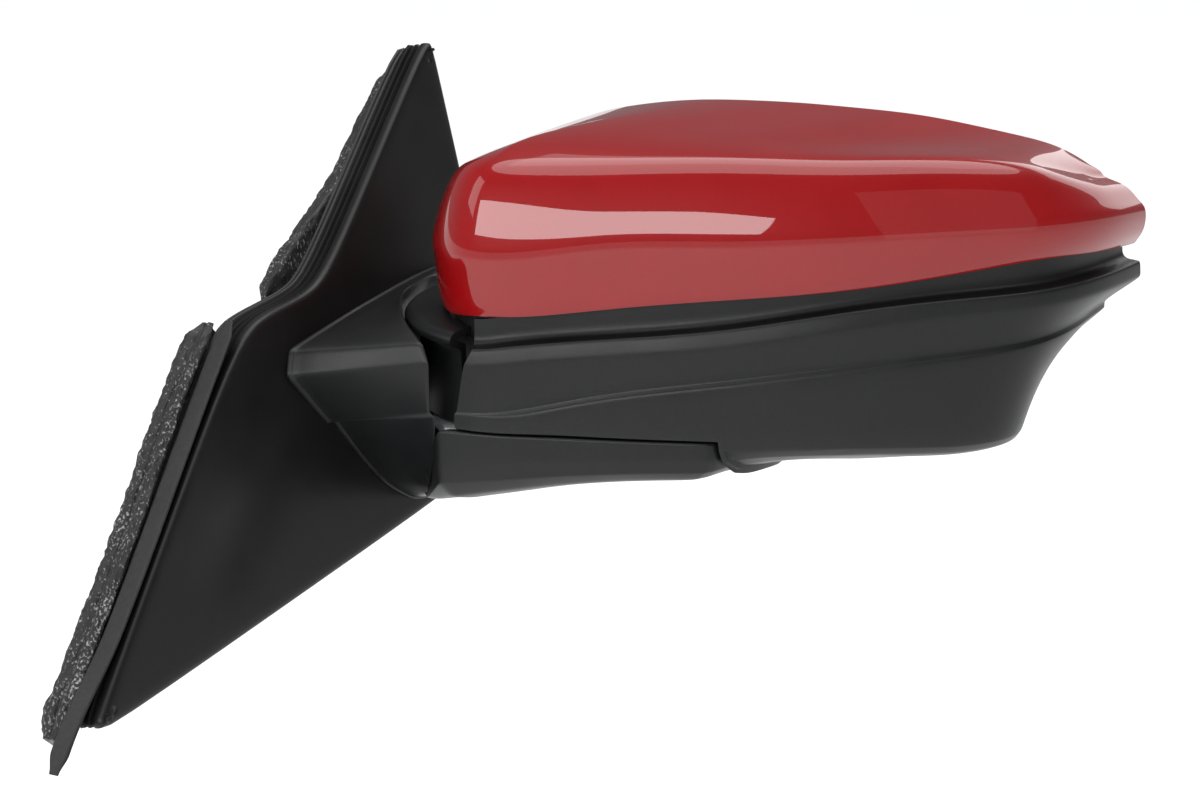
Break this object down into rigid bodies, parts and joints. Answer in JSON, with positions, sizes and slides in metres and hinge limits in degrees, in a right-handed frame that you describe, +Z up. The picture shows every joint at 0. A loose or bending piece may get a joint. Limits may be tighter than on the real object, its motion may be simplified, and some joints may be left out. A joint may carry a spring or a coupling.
{
  "type": "car side mirror",
  "caption": "Powered folding car side mirror with a painted cap, satin black housing, neck and door base, a tilting mirror glass, and a sealed stud-mounted flange.",
  "frame": {"origin": "centre of the circle through the mounting studs, on the mounting face of the door base", "axes": "+X outboard from the car, +Y rearward, +Z up, with the mirror in its driving position"},
  "size_m": [0.3216, 0.3006, 0.2264],
  "materials": {
    "cast_aluminium": "as cast",
    "plated_steel": "zinc plated",
    "satin_black": "fine textured satin",
    "frame_black": "moulded",
    "foam": "open cell foam",
    "rubber": "smooth",
    "clip_nylon": "natural nylon",
    "hard_steel": "turned",
    "spring_steel": "oiled wire",
    "red_paint": "high gloss clear coat over plastic",
    "actuator_plastic": "moulded",
    "motor_can": "drawn can",
    "acetal": "natural acetal",
    "heater": "foil and felt",
    "mirror_glass": "silvered glass",
    "brass_worm": "machined"
  },
  "bodies": {
    "base": {"base_bracket": "cast_aluminium", "mounting_studs": "plated_steel", "sail_cover": "satin_black", "seal_frame": "frame_black", "foam_gasket_upper": "foam", "foam_gasket_lower": "foam", "rubber_lip": "rubber", "retaining_clips": "clip_nylon", "wire_grommet": "rubber", "base_screws": "plated_steel", "neck_cover": "satin_black", "blade_cover": "satin_black", "detent_ring": "hard_steel", "pivot_spindle": "hard_steel", "thrust_washer": "hard_steel", "fold_spring": "spring_steel", "spring_retainer": "hard_steel"},
    "head": {"head_frame": "frame_black", "detent_cam": "hard_steel", "painted_cap": "red_paint", "lower_housing": "satin_black", "shoulder_cover": "satin_black", "rear_bezel": "satin_black", "actuator_housing": "actuator_plastic", "actuator_cover": "actuator_plastic", "pitch_motor": "motor_can", "yaw_motor": "motor_can", "actuator_screws": "plated_steel", "bezel_screws": "plated_steel"},
    "gimbal": {"gimbal_ring": "acetal"},
    "glass": {"glass_holder": "frame_black", "heater_pad": "heater", "mirror_glass": "mirror_glass"},
    "pitch_jackscrew": {"pitch_screw": "acetal"},
    "yaw_jackscrew": {"yaw_screw": "acetal"},
    "pitch_drive_gear": {"pitch_gear": "acetal"},
    "yaw_drive_gear": {"yaw_gear": "acetal"},
    "pitch_drive_worm": {"pitch_worm": "brass_worm"},
    "yaw_drive_worm": {"yaw_worm": "brass_worm"}
  },
  "joints": [
    {"name": "fold", "type": "hinge", "parent": "base", "child": "head", "pos_m": [0.0895, 0.0345, 0.02], "axis": [0, 0, 1], "range_deg": [-45, 60]},
    {"name": "glass_pitch", "type": "hinge", "parent": "head", "child": "gimbal", "pos_m": [0.1824, 0.0737, 0.06], "axis": [0.9781, 0.2079, 0], "range_deg": [-7, 7]},
    {"name": "glass_yaw", "type": "hinge", "parent": "gimbal", "child": "glass", "pos_m": [0.1824, 0.0737, 0.06], "axis": [0, 0, 1], "range_deg": [-7, 7]},
    {"name": "pitch_screw_slide", "type": "slide", "parent": "head", "child": "pitch_jackscrew", "axis": [-0.2079, 0.9781, 0], "range_m": [-0.0034, 0.0034]},
    {"name": "yaw_screw_slide", "type": "slide", "parent": "head", "child": "yaw_jackscrew", "axis": [-0.2079, 0.9781, 0], "range_m": [-0.0034, 0.0034]},
    {"name": "pitch_gear_spin", "type": "hinge", "parent": "head", "child": "pitch_drive_gear", "pos_m": [0.1824, 0.0737, 0.083], "axis": [-0.2079, 0.9781, 0], "range_deg": [-200, 200]},
    {"name": "yaw_gear_spin", "type": "hinge", "parent": "head", "child": "yaw_drive_gear", "pos_m": [0.2049, 0.07848, 0.06], "axis": [-0.2079, 0.9781, 0], "range_deg": [-200, 200]},
    {"name": "pitch_worm_spin", "type": "hinge", "parent": "head", "child": "pitch_drive_worm", "pos_m": [0.18562, 0.05854, 0.0702], "axis": [0.9781, 0.2079, 0], "range_deg": [-3500, 3500]},
    {"name": "yaw_worm_spin", "type": "hinge", "parent": "head", "child": "yaw_drive_worm", "pos_m": [0.1956, 0.06066, 0.06], "axis": [0, 0, 1], "range_deg": [-3500, 3500]}
  ],
  "couplings": [
    {"joint": "pitch_screw_slide", "follows": "glass_pitch", "m_per_rad": -0.023},
    {"joint": "yaw_screw_slide", "follows": "glass_yaw", "m_per_rad": 0.023},
    {"joint": "pitch_gear_spin", "follows": "glass_pitch", "ratio": -24.086},
    {"joint": "yaw_gear_spin", "follows": "glass_yaw", "ratio": 24.086},
    {"joint": "pitch_worm_spin", "follows": "glass_pitch", "ratio": 433.54},
    {"joint": "yaw_worm_spin", "follows": "glass_yaw", "ratio": 433.54}
  ]
}
